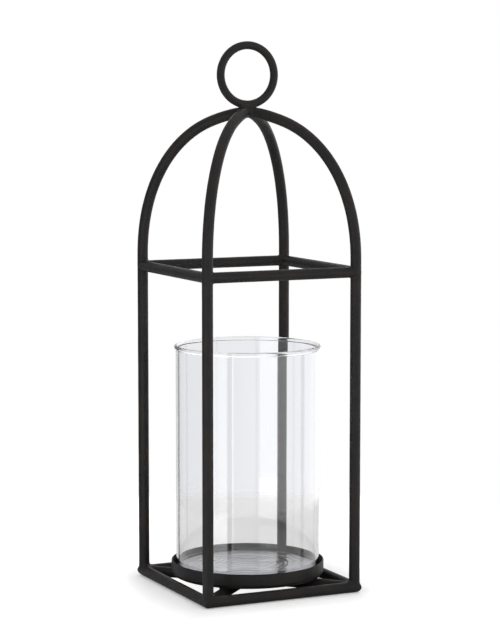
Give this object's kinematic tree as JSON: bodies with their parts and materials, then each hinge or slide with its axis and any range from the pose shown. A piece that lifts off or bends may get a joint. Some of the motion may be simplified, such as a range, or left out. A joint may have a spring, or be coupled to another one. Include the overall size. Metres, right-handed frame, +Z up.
{
  "type": "candle lantern",
  "caption": "Open candle lantern: square cage of round black rod with crossed arches and a hanging ring on top, and a loose clear glass cylinder standing in a shallow round tray.",
  "frame": {"origin": "middle of the square footprint, on the surface that the lantern stands on", "axes": "+Z up through the hanging ring; X and Y along the sides of the footprint, with the front side at -Y"},
  "size_m": [0.143, 0.143, 0.4577],
  "materials": {
    "black_coat": "satin black powder coat on round iron rod",
    "tray_coat": "satin black powder coat on pressed sheet",
    "clear_glass": "clear, fire-polished rim"
  },
  "bodies": {
    "cage": {"main_hoop": "black_coat", "front_half_hoop": "black_coat", "rear_half_hoop": "black_coat", "tie_bar_front": "black_coat", "tie_bar_right": "black_coat", "tie_bar_rear": "black_coat", "tie_bar_left": "black_coat", "base_bar_front": "black_coat", "base_bar_right": "black_coat", "base_bar_rear": "black_coat", "base_bar_left": "black_coat", "cross_rod_long": "black_coat", "cross_rod_front": "black_coat", "cross_rod_rear": "black_coat", "hanging_ring": "black_coat", "glass_tray": "tray_coat"},
    "glass": {"glass_cylinder": "clear_glass"}
  },
  "joints": [
    {"name": "glass_lift", "type": "slide", "parent": "cage", "child": "glass", "axis": [0, 0, 1], "range_m": [0, 0.15]}
  ]
}
